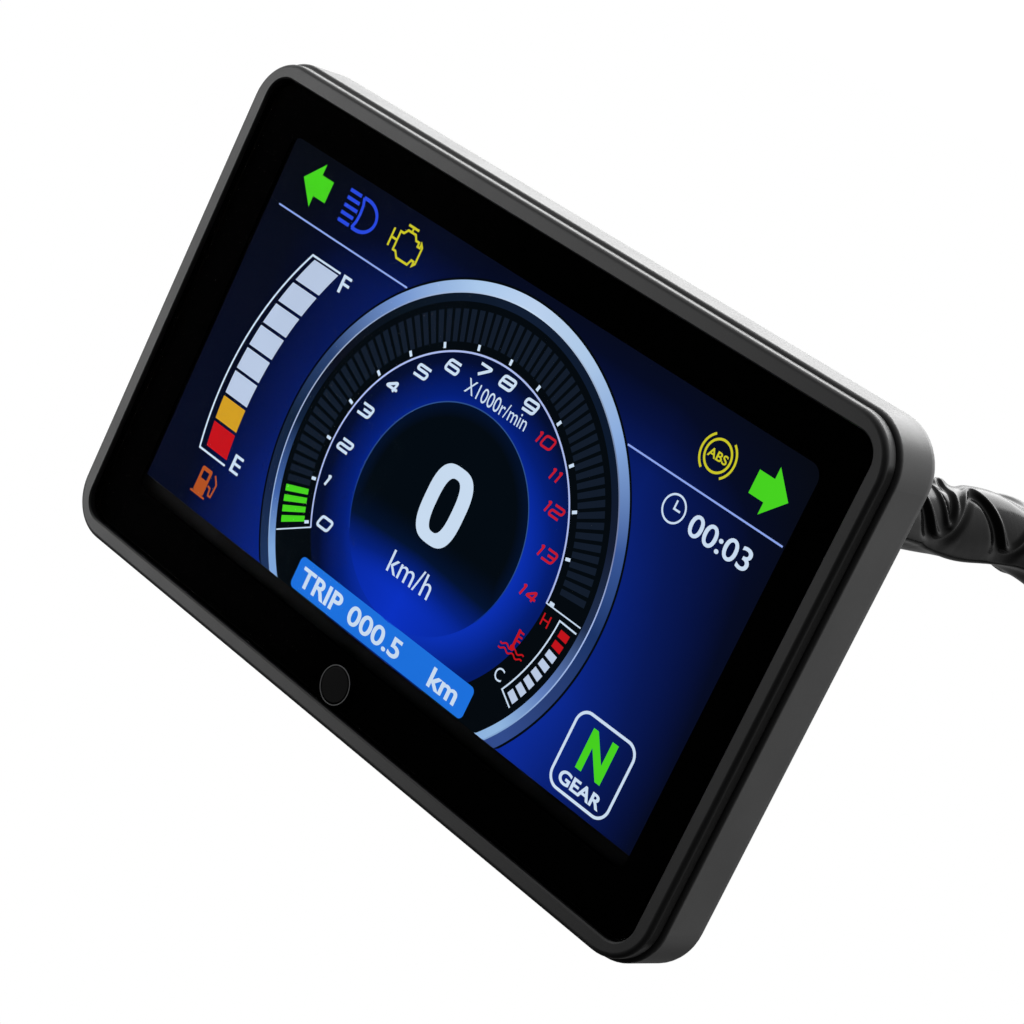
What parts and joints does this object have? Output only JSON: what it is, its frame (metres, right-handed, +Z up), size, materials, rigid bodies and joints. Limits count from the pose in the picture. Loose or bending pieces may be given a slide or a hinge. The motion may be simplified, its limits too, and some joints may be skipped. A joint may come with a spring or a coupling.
{
  "type": "motorcycle instrument cluster",
  "caption": "Rectangular colour-display instrument cluster for a motorcycle, with a bonded cover lens, one push button and a sleeved harness with a plug.",
  "frame": {"origin": "centre of the four threaded inserts, on the rear face that sits against the bracket", "axes": "+X towards the reader's right, +Y from the screen towards the back, +Z up"},
  "size_m": [0.1738, 0.1318, 0.1543],
  "materials": {
    "frame_plastic": "fine moulded grain",
    "lens_glass": "polished",
    "tape": "satin",
    "foam": "open cell foam",
    "panel_glass": "polished",
    "tray_steel": "satin",
    "guide_acrylic": "polished",
    "plate_steel": "zinc plated",
    "board_laminate": "solder mask",
    "ribbon_film": "satin film",
    "socket_plastic": "satin",
    "chip_plastic": "laser marked matte",
    "inductor_ferrite": "sintered",
    "capacitor_can": "satin",
    "header_plastic": "satin",
    "lead_insulation": "satin",
    "housing_plastic": "fine moulded grain",
    "seal_silicone": "satin",
    "button_plastic": "satin",
    "plunger_plastic": "satin",
    "insert_brass": "knurled",
    "vent_plastic": "satin",
    "gland_rubber": "satin",
    "sleeve_vinyl": "glossy soft vinyl",
    "collar_vinyl": "satin",
    "plug_plastic": "satin",
    "terminal_brass": "tin plated",
    "plug_silicone": "satin",
    "screw_steel": "zinc plated"
  },
  "bodies": {
    "case": {"front_frame": "frame_plastic", "cover_lens": "lens_glass", "lens_adhesive": "tape", "window_gasket": "foam", "display_panel": "panel_glass", "backlight_tray": "tray_steel", "light_guide": "guide_acrylic", "cushion_pads": "foam", "shield_plate": "plate_steel", "main_board": "board_laminate", "display_ribbon": "ribbon_film", "ribbon_socket": "socket_plastic", "board_chips": "chip_plastic", "power_inductor": "inductor_ferrite", "filter_capacitors": "capacitor_can", "lead_header": "header_plastic", "lead_plug": "header_plastic", "inner_leads": "lead_insulation", "rear_housing": "housing_plastic", "case_seal": "seal_silicone", "button_boot": "seal_silicone", "switch_body": "chip_plastic", "threaded_inserts": "insert_brass", "vent_plug": "vent_plastic", "cable_gland": "gland_rubber", "harness_sleeve": "sleeve_vinyl", "sleeve_collar": "collar_vinyl", "harness_wires": "lead_insulation", "plug_housing": "plug_plastic", "plug_terminals": "terminal_brass", "plug_seal": "plug_silicone", "case_screws": "screw_steel", "board_screws": "screw_steel"},
    "button": {"button_cap": "button_plastic"},
    "plunger": {"switch_plunger": "plunger_plastic"}
  },
  "joints": [
    {"name": "button_press", "type": "slide", "parent": "case", "child": "button", "axis": [0, 1, 0], "range_m": [0, 0.0005], "stiffness_N_per_m": 2000, "springref_m": -0.0004},
    {"name": "plunger_press", "type": "slide", "parent": "case", "child": "plunger", "axis": [0, 1, 0], "range_m": [0, 0.0005]}
  ],
  "couplings": [
    {"joint": "plunger_press", "follows": "button_press", "ratio": 1}
  ]
}
